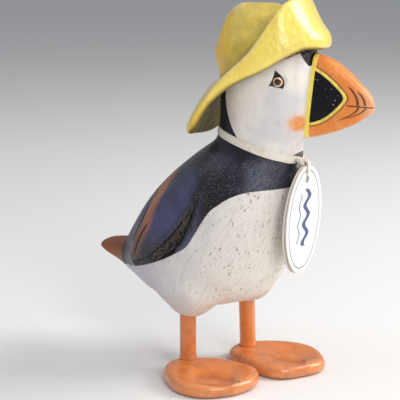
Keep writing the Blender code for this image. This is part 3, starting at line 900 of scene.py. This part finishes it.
def makeHat():
    look = hatLook
    paint = glossHat()
    bm = copied("hat_crown", "hat_brim")
    limit = math.radians(60)      # whole faces make a better cage to round off
    bmesh.ops.join_triangles(bm, faces=bm.faces, angle_face_threshold=limit,
                             angle_shape_threshold=limit)
    cage = built("hatCage", bm, paint)
    subdivided(cage, 2)
    bm = opened(cage.data)
    bpy.data.objects.remove(cage)
    swell(bm, look["swell"])
    hat = skin("hat", bm, paint, look)
    lipRolled(hat)
    markEdgesAndHollows(hat, look["edgesAndHollows"])
    near(hat, "crown", "hat_crown", 0.5, 1.6)

    def upperFace(at, normal):
        # The brim's upper side behind the turned-up front.
        return step(normal[:, 2], 0.3, 0.62) * step(at.ahead, 12, 2)

    def underside(at, normal):
        # The side turned to the neck, and whatever faces straight down.
        ahead = at.forward - bird["neckForward"]
        outward = normal[:, 0] * at.side - normal[:, 1] * ahead
        outward = outward / np.maximum((at.side ** 2 + ahead ** 2) ** 0.5, 1)
        inner = step(outward, 0.1, -0.2) * step(normal[:, 2], 0.15, -0.1)
        return np.maximum(inner, step(normal[:, 2], -0.6, -0.85))

    facing(hat, "top", upperFace)
    facing(hat, "underShade", underside)
    stands(hat, "hat_gloss", "hat_crown", "hat_brim")


# Legs and feet.

legLook = {
    "voxel": 0.4, "smooth": 12, "swell": 0.1,
    "edgesAndHollows": (10, 0.4),
    "flare": 0.4,       # the leg widens by this much where it enters the foot
    "chipAt": (-30.6, 32.2),
    "orange": (0.72, 0.215, 0.042),
    "deep": (0.40, 0.09, 0.022),
    "pale": (0.78, 0.38, 0.19),
    "underOverhang": (0.30, 0.15, 0.08),
    "chipDark": (0.03, 0.02, 0.015),
    "chipPale": (0.7, 0.62, 0.5),
}
footLook = {
    "voxel": 0.62, "smooth": 8, "swell": 0,
    "edgesAndHollows": (60, 0.9),
    "scoop": 1.35,      # depth of the bowls
    "scoops": (         # side, forward, toe-out in degrees, half width, half length
        (-33, 18.5, 12, 11, 14.5),
        (10.5, 35.5, 2, 9.5, 12),
    ),
}


def paintedLegs():
    g = Graph("paintedLegs", legLook)
    at = g.place()
    blotch = g.noise(at.xyz, 0.11, 3)
    grain = g.noise(g.vector(at.side * 0.9, at.forward * 0.28, at.up * 0.5), 1.0, 4)
    fine = g.noise(at.xyz, 2.4, 2)
    edgesAndHollows = g.attribute("edgesAndHollows")
    foot = step(at.up, 9, 7)
    # Darker where the leg's top goes in under the body.
    underOverhang = step(at.up + sway(grain, 7), 31, 36)
    side, forward = legLook["chipAt"]
    chip = ((at.side - side) ** 2 + (at.forward - forward) ** 2 * 0.5) ** 0.5 + sway(fine, 3)
    chipTone = g.mix(step(fine, 0.5, 0.55), "chipDark", "chipPale")
    colour = g.coats("orange", (
        (step(blotch, 0.44, 0.66) * 0.45, "deep"),
        (step(grain, 0.50, 0.70) * 0.28, "pale"),
        (step(edgesAndHollows + sway(grain, 0.6), 0.75, 1.05) * 0.2, "pale"),
        # Darker in the hollows.
        (step(edgesAndHollows, 0.40, 0.15) * 0.5, "deep"),
        (underOverhang * 0.6, "underOverhang"),
        (step(chip, 1.5, 0.9) * foot, chipTone),
        (foot * step(at.up, 1.4, 0.1) * 0.7, "deep"),
    ))
    g.feed(Base_Color=colour, Roughness=0.34 + sway(grain, 0.25),
           Normal=g.bump(grain + fine * 0.2, 0.16), Coat_Weight=0.6, Coat_Roughness=0.16)
    return g.material


def makePair(limb, look, height, paint):
    for side in ("left", "right"):
        bm = copied(limb + "_" + side)
        swell(bm, look["swell"])
        piece = skin(limb + side.title(), bm, paint, look)
        relief(piece, height)
        markEdgesAndHollows(piece, look["edgesAndHollows"])
        stands(piece, "leg_paint", limb + "_" + side)


def makeLegsAndFeet():
    paint = paintedLegs()

    def flare(at):
        return legLook["flare"] * step(at.up, 9.6, 7.4)

    def scoop(at):
        # A shallow bowl in each foot, cut steepest at its toe end.
        depth = 0
        for side, forward, toe, wide, long in footLook["scoops"]:
            turn = math.radians(toe)
            aside, before = at.side - side, at.forward - forward
            across = aside * math.cos(turn) + before * math.sin(turn)
            ahead = before * math.cos(turn) - aside * math.sin(turn)
            reach = ((across / wide) ** 2 + (ahead / long) ** 2) ** 0.5
            wall = 0.5 - 0.3 * step(ahead, 0, 9)
            depth = depth + footLook["scoop"] * step(reach, 1.0, 1.0 - wall)
        return -depth * step(at.up, 3.6, 4.6)

    makePair("leg", legLook, flare, paint)
    makePair("foot", footLook, scoop, paint)


# Eyes.

eyeLook = {
    "voxel": 0.14, "smooth": 6,
    "proud": 0.35,      # the beads stand this far out of the head
    "middle": (13.2, 153.5),
    "rings": (          # inner and outer end of each ring's edge, and its colour
        (0.95, 1.15, "iris"),
        (1.55, 1.7, "lid"),
        (2.15, 2.3, "black"),
    ),
    "pupil": (0.004, 0.003, 0.003),
    "iris": (0.10, 0.03, 0.012),
    "lid": (0.86, 0.50, 0.26),
    "black": (0.010, 0.010, 0.014),
}


def paintedEye():
    g = Graph("paintedEye", eyeLook)
    reach = headReach(g.place(), eyeLook["middle"])
    rings = [(step(reach, low, high), colour) for low, high, colour in eyeLook["rings"]]
    g.feed(Base_Color=g.coats("pupil", rings), Roughness=0.25, Coat_Weight=0.6,
           Coat_Roughness=0.1)
    return g.material


def makeEyes():
    paint = paintedEye()
    turn = bird["headTurn"]
    for side, way in (("left", 1), ("right", -1)):
        bm = copied("eye_" + side)
        out = Vector((way * math.cos(turn), way * math.sin(turn), 0))
        bmesh.ops.translate(bm, vec=out * eyeLook["proud"] * mm, verts=bm.verts)
        eye = skin("eye" + side.title(), bm, paint, eyeLook)
        stands(eye, "eye_paint", "eye_" + side)


# Neck tape, its knot, and the loop that carries the tag.

tapeLook = {
    "steps": 220, "strips": 6, "width": 3.8, "thick": 0.42,
    "around": 152.0,    # its length round the neck
    "axis": 25.6,       # place forward of the upright line that it is laid round
    "start": 122.0,     # height where the search for its course begins
    "reach": 60,        # and how far outside
    "clear": 0.12,      # it lies this far off the skin
    "warp": 0.36,       # one thread and its gap, across the tape
    "weft": 0.46,
    "cream": (0.86, 0.81, 0.72),
    "stain": (0.70, 0.58, 0.40),
    "gap": (0.50, 0.43, 0.33),
}
knotLook = {
    "forward": 49.4, "up": 113.0, "wide": 3.1, "deep": 1.054, "tall": 2.5,
    "tape": 2.5,        # the tied tape's width
    "thick": 1.25, "steps": 150,
}
loopLook = {
    "up": 110.7,
    "tall": 3.5,        # half its height
    "deep": 1.38,       # half its depth, across the card's edge
    "slope": 0.061,     # the card's lean
    "aside": 0.25,      # its top and bottom lie this far to the sides
    "tape": (3.1, 0.6),  # width, and how much it varies
    "thick": 0.5, "steps": 90,
}
strandLook = {
    "around": 14,       # corners round a strand
    "girth": 7.0,       # millimetres of weave round it
    "stitch": 0.25,     # and along it, per step
    "square": 0.6,      # 1 gives an oval section, less squares it off
}


def wovenTape():
    look = tapeLook
    g = Graph("wovenTape", look)
    along, across = g.weave()
    at = g.place()
    stain = g.noise(at.xyz, 0.2, 3)
    fuzz = g.noise(at.xyz, 3.5, 2)
    warp = (across * (math.tau / look["warp"])).calc("SINE")
    weft = (along * (math.tau / look["weft"])).calc("SINE")
    weave = warp * weft * 0.5 + 0.5
    colour = g.mix(step(stain, 0.45, 0.7) * 0.6, "cream", "stain")
    # Painted shade between the threads.
    colour = g.mix((1 - weave) * 0.22, colour, "gap")
    g.feed(Base_Color=colour, Roughness=0.72 + sway(fuzz, 0.2), Sheen_Weight=0.25,
           Normal=g.bump(weave + fuzz * 0.4, 0.09))
    return g.material


def woven(name, steps, strips, size, shape, material, closed):
    # A grid bent to shape(u, v); its UV map runs in millimetres along and across.
    bm = bmesh.new()
    layer = bm.loops.layers.uv.new("weave")
    bmesh.ops.create_grid(bm, x_segments=steps, y_segments=strips, size=0.5)
    for face in bm.faces:
        for loop in face.loops:
            along, across = loop.vert.co.x + 0.5, loop.vert.co.y + 0.5
            loop[layer].uv = (along * size[0], across * size[1])
    for v in bm.verts:
        v.co = shape(v.co.x + 0.5, v.co.y + 0.5)
    bmesh.ops.remove_doubles(bm, verts=bm.verts, dist=weld)
    if closed:
        bmesh.ops.recalc_face_normals(bm, faces=bm.faces)
    for face in bm.faces:
        face.smooth = True
    return built(name, bm, material)


def heading(path, along):
    # The way a path runs, from two places close on either side.
    ahead = 0.004
    return (path(along + ahead) - path(along - ahead)).normalized()


def makeTape(body, paint):
    # A flat tape laid on the neck; its ends meet under the knot at the throat.
    look = tapeLook
    tree = treeOf(body.data)
    axis = world(0, look["axis"], 0)

    def onNeck(angle, up):
        # Straight in from outside towards the neck's axis.
        out = Vector((math.sin(angle), -math.cos(angle), 0))
        start = world(0, look["axis"], up) + out * look["reach"] * mm
        return tree.ray_cast(start, -out)[0]

    def middle(along):
        angle = math.tau * along
        up = look["start"]
        for _ in range(5):      # a few rounds settle on the line
            at = Place(*onNeck(angle, up))
            up = float(collarLine(at.forward, at.side))
        return onNeck(angle, up)

    def laid(along, across):
        place = middle(along)
        inward = Vector((place.x - axis.x, place.y - axis.y, 0)).normalized()
        rise = inward.cross(heading(middle, along)).normalized()
        if rise.z < 0:
            rise = -rise
        edge = place + rise * (across - 0.5) * look["width"] * mm
        spot, out = tree.find_nearest(edge)[:2]
        return spot + out * look["clear"] * mm

    tape = woven("neckTape", look["steps"], look["strips"], (look["around"], look["width"]),
                 laid, paint, False)
    first = tape.data.polygons[0]
    if first.normal.dot(first.center - world(0, look["axis"], look["start"])) < 0:
        tape.data.flip_normals()
    thick = tape.modifiers.new("thick", "SOLIDIFY")
    thick.thickness = look["thick"] * mm
    thick.offset = 1
    settle(tape)
    stands(tape, "ribbon_weave", "ribbon")


def strand(name, look, path, breadth, width, material):
    # A closed band of tape along a closed path; breadth(u) gives its flat direction.
    def squared(value):
        return math.copysign(abs(value) ** strandLook["square"], value)

    def shape(along, around):
        course = heading(path, along)
        flat = breadth(along)
        flat = (flat - course * flat.dot(course)).normalized()
        out = course.cross(flat)
        angle = math.tau * around
        wide = squared(math.cos(angle)) * width(along) / 2
        deep = squared(math.sin(angle)) * look["thick"] / 2
        return path(along) + (flat * wide + out * deep) * mm

    size = (look["steps"] * strandLook["stitch"], strandLook["girth"])
    return woven(name, look["steps"], strandLook["around"], size, shape, material, True)


def tiedKnot(paint):
    # An overhand knot, drawn as a trefoil.
    look = knotLook

    def trefoil(along):
        t = math.tau * along
        side = (math.sin(t) + 2 * math.sin(2 * t)) / 3 * look["wide"]
        up = (math.cos(t) - 2 * math.cos(2 * t)) / 3 * look["tall"]
        ahead = -math.sin(3 * t) * look["deep"]
        return world(side, look["forward"] + ahead, look["up"] + up)

    def across(along):
        t = math.tau * along
        return Vector((0.35 * math.sin(t), -1, 0.35 * math.cos(t)))

    return strand("knot", look, trefoil, across, lambda along: look["tape"], paint)


def hangingLoop(paint):
    # Round the card's upper edge, with its lowest turn in the hole.
    look = loopLook

    def hanging(along):
        t = math.tau * along
        ahead, up = math.cos(t), math.sin(t)
        slim = math.copysign(abs(ahead) ** 0.45, ahead) * look["deep"]
        height = look["up"] + look["tall"] * up
        card = tagLook["forward"] - look["slope"] * (tagLook["up"] - height)
        return world(look["aside"] * up, card + slim, height)

    def width(along):
        return look["tape"][0] + look["tape"][1] * math.sin(math.tau * along)

    return strand("loop", look, hanging, lambda along: Vector((1, 0.05, 0)), width, paint)


def makeKnot(paint):
    knot, loop = tiedKnot(paint), hangingLoop(paint)
    bm = opened(knot.data, loop.data)
    bm.to_mesh(knot.data)
    bm.free()
    bpy.data.objects.remove(loop)
    stands(knot, "ribbon_weave", "ribbon_knot")


# Tag: two oval plies of card with a punched hole, hung by their upper end.

tagLook = {
    "wide": 33.5, "long": 54.5, "ply": 0.8, "gap": 0.3, "hole": 1.9,
    "drop": 7.0,        # from the card's top to its hole
    "forward": 52.0, "up": 112.4, "lean": 3.5, "swing": 1.0, "sides": 96,
    "spoke": 4,         # edges longer than this run from the hole to the rim
    "cuts": 6, "round": 0.14,
    "inset": 2.6,       # the printed border, in from the edge
    "plies": (          # name, way forward, turn in degrees, curl
        ("front", 0.5, 0.0, 0.35),
        ("back", -0.5, -1.3, -0.1),
    ),
    "waveLong": 9.5,
    "waves": (          # place across, bend, half length, half width, colour
        (1.6, 1.9, 15, 1.9, "blue"),
        (-5.0, 1.0, 13, 0.7, "paleBlue"),
    ),
    "blue": (0.008, 0.035, 0.16),
    "paleBlue": (0.10, 0.17, 0.30),
    "white": (0.78, 0.78, 0.76),
    "grey": (0.70, 0.68, 0.64),
    "border": (0.09, 0.10, 0.15),
    "edge": (0.66, 0.55, 0.44),
}


def tagCard():
    look = tagLook
    g = Graph("tagCard", look)
    x, y = g.weave()
    at = g.place()
    fibre = g.noise(at.xyz, 1.6, 4)

    def outside(shrink):
        # Distance outside an ellipse drawn that far in from the card's edge.
        a, b = look["wide"] / 2 - shrink, look["long"] / 2 - shrink
        reach = ((x / a) ** 2 + (y / b) ** 2) ** 0.5
        slope = ((x / (a * a)) ** 2 + (y / (b * b)) ** 2) ** 0.5
        return (reach - 1) * reach / (slope + 0.001)

    layers = [(hill(outside(look["inset"]), 0.62) * 0.85, "border")]
    for middle, bend, length, width, ink in look["waves"]:
        wave = x - middle - bend * (y * (math.tau / look["waveLong"])).calc("SINE")
        stroke = step(abs(wave), width, width - 0.3) * step(abs(y - 1), length, length - 1)
        layers.append((stroke * 0.92, ink))
    layers.append((step(outside(0.5), -0.1, 0.3) * 0.6, "edge"))
    paper = g.mix(sway(fibre, 0.25) + 0.12, "white", "grey")
    g.feed(Base_Color=g.coats(paper, layers), Roughness=0.62 + sway(fibre, 0.2),
           Normal=g.bump(fibre, 0.03))
    return g.material


def makeTag():
    look = tagLook
    paint = tagCard()
    lean = Matrix.Rotation(math.radians(90 + look["lean"]), 4, "X")
    hang = Matrix.Translation(world(0, look["forward"], look["up"])) @ lean
    hang = hang @ Matrix.Rotation(math.radians(-look["swing"]), 4, "Z")
    halfWide, halfLong = look["wide"] / 2 * mm, look["long"] / 2 * mm
    drop = halfLong - look["drop"] * mm
    for name, way, askew, curl in look["plies"]:
        bm = bmesh.new()
        layer = bm.loops.layers.uv.new("weave")
        rim = bmesh.ops.create_circle(bm, segments=look["sides"], radius=1.0)["verts"]
        bmesh.ops.scale(bm, vec=(halfWide, halfLong, 1), verts=rim)
        hole = bmesh.ops.create_circle(bm, segments=look["sides"], radius=look["hole"] * mm)
        bmesh.ops.translate(bm, vec=(0, drop, 0), verts=hole["verts"])
        bmesh.ops.bridge_loops(bm, edges=bm.edges[:])
        bmesh.ops.recalc_face_normals(bm, faces=bm.faces)
        if bm.faces[0].normal.z < 0:
            bmesh.ops.reverse_faces(bm, faces=bm.faces)
        spokes = [e for e in bm.edges if e.calc_length() > look["spoke"] * mm]
        bmesh.ops.subdivide_edges(bm, edges=spokes, cuts=look["cuts"])
        raised = bmesh.ops.extrude_face_region(bm, geom=bm.faces[:])["geom"]
        lifted = [v for v in raised if isinstance(v, bmesh.types.BMVert)]
        bmesh.ops.translate(bm, vec=(0, 0, look["ply"] * mm), verts=lifted)
        bmesh.ops.recalc_face_normals(bm, faces=bm.faces)
        sharp = [e for e in bm.edges if len(e.link_faces) == 2 and e.calc_face_angle() > 1]
        bmesh.ops.bevel(bm, geom=sharp, offset=look["round"] * mm, offset_type="OFFSET",
                        segments=2, profile=0.5, affect="EDGES", material=-1)
        for face in bm.faces:
            for loop in face.loops:
                loop[layer].uv = (loop.vert.co.x / mm, loop.vert.co.y / mm)
        turn = Matrix.Translation((0, drop, 0)) @ Matrix.Rotation(math.radians(askew), 4, "Z")
        bmesh.ops.transform(bm, matrix=turn @ Matrix.Translation((0, -drop, 0)), verts=bm.verts)
        gap = way * (look["ply"] + look["gap"]) - look["ply"] / 2
        bmesh.ops.translate(bm, vec=(0, -halfLong, gap * mm), verts=bm.verts)
        for v in bm.verts:
            # Card that has been handled curls a little at its lower end.
            v.co.z += curl * mm * min(v.co.y / (look["long"] * mm), 0) ** 2
        bmesh.ops.transform(bm, matrix=hang, verts=bm.verts)
        stands(built("tag" + name.title(), bm, paint), "tag_card", "tag_" + name)


# Floor, light and camera.

stageLook = {
    "floor": (0.80, 0.79, 0.78, 1),
    "floorSize": 40.0,
    "sky": (0.92, 0.95, 1.0, 1),
    "skyStrength": 0.36,
    "aim": (0, 0, 0.1),
    "lamps": (          # name, place, width and height, power, colour
        ("window", (0.62, -0.76, 0.75), (0.6, 0.8), 12.5, (1.0, 0.98, 0.95)),
        ("front", (-0.60, -0.97, 0.72), (0.4, 0.8), 6.5, (1.0, 0.98, 0.96)),
        ("back", (-0.6, 0.7, 1.0), (0.9, 0.7), 2.2, (0.90, 0.93, 1.0)),
        ("top", (0, 0, 1.3), (1.0, 1.0), 3.5, (1.0, 1.0, 1.0)),
    ),
    "lens": 107.46,
    "cameraAt": (-0.4968, -0.3365, 0.2184),  # from the bird's zero on the floor
    "cameraTurn": (77.78, 0, -55),
}


def plainStage():
    g = Graph("paleFloor", stageLook)
    g.feed(Base_Color=stageLook["floor"], Roughness=0.6)
    bm = bmesh.new()
    bmesh.ops.create_grid(bm, x_segments=1, y_segments=1, size=stageLook["floorSize"])
    built("floor", bm, g.material)
    pale = bpy.data.worlds.new("pale")
    bpy.context.scene.world = pale
    pale.use_nodes = True
    sky = pale.node_tree.nodes["Background"]
    sky.inputs["Color"].default_value = stageLook["sky"]
    sky.inputs["Strength"].default_value = stageLook["skyStrength"]


def softLights():
    for name, place, size, power, colour in stageLook["lamps"]:
        lamp = bpy.data.lights.new(name, "AREA")
        lamp.shape = "RECTANGLE"
        lamp.size, lamp.size_y = size
        lamp.energy = power
        lamp.color = colour
        obj = linked(name, lamp)
        obj.location = place
        away = Vector(stageLook["aim"]) - Vector(place)
        obj.rotation_euler = away.to_track_quat("-Z", "Y").to_euler()


def aimedCamera():
    camera = bpy.data.cameras.new("camera")
    camera.lens = stageLook["lens"]
    camera.clip_start = 0.01
    obj = linked("camera", camera)
    obj.location = world(0, 0, 0) + Vector(stageLook["cameraAt"])
    obj.rotation_euler = [math.radians(angle) for angle in stageLook["cameraTurn"]]
    bpy.context.scene.camera = obj


plainStage()
softLights()
aimedCamera()
bpy.context.scene.view_settings.view_transform = "Standard"    # keeps the paint bright
print("stage")
skinned = makeBody()
makeBill()
makeHat()
makeLegsAndFeet()
makeEyes()
tapeWeave = wovenTape()
makeTape(skinned, tapeWeave)
makeKnot(tapeWeave)
makeTag()
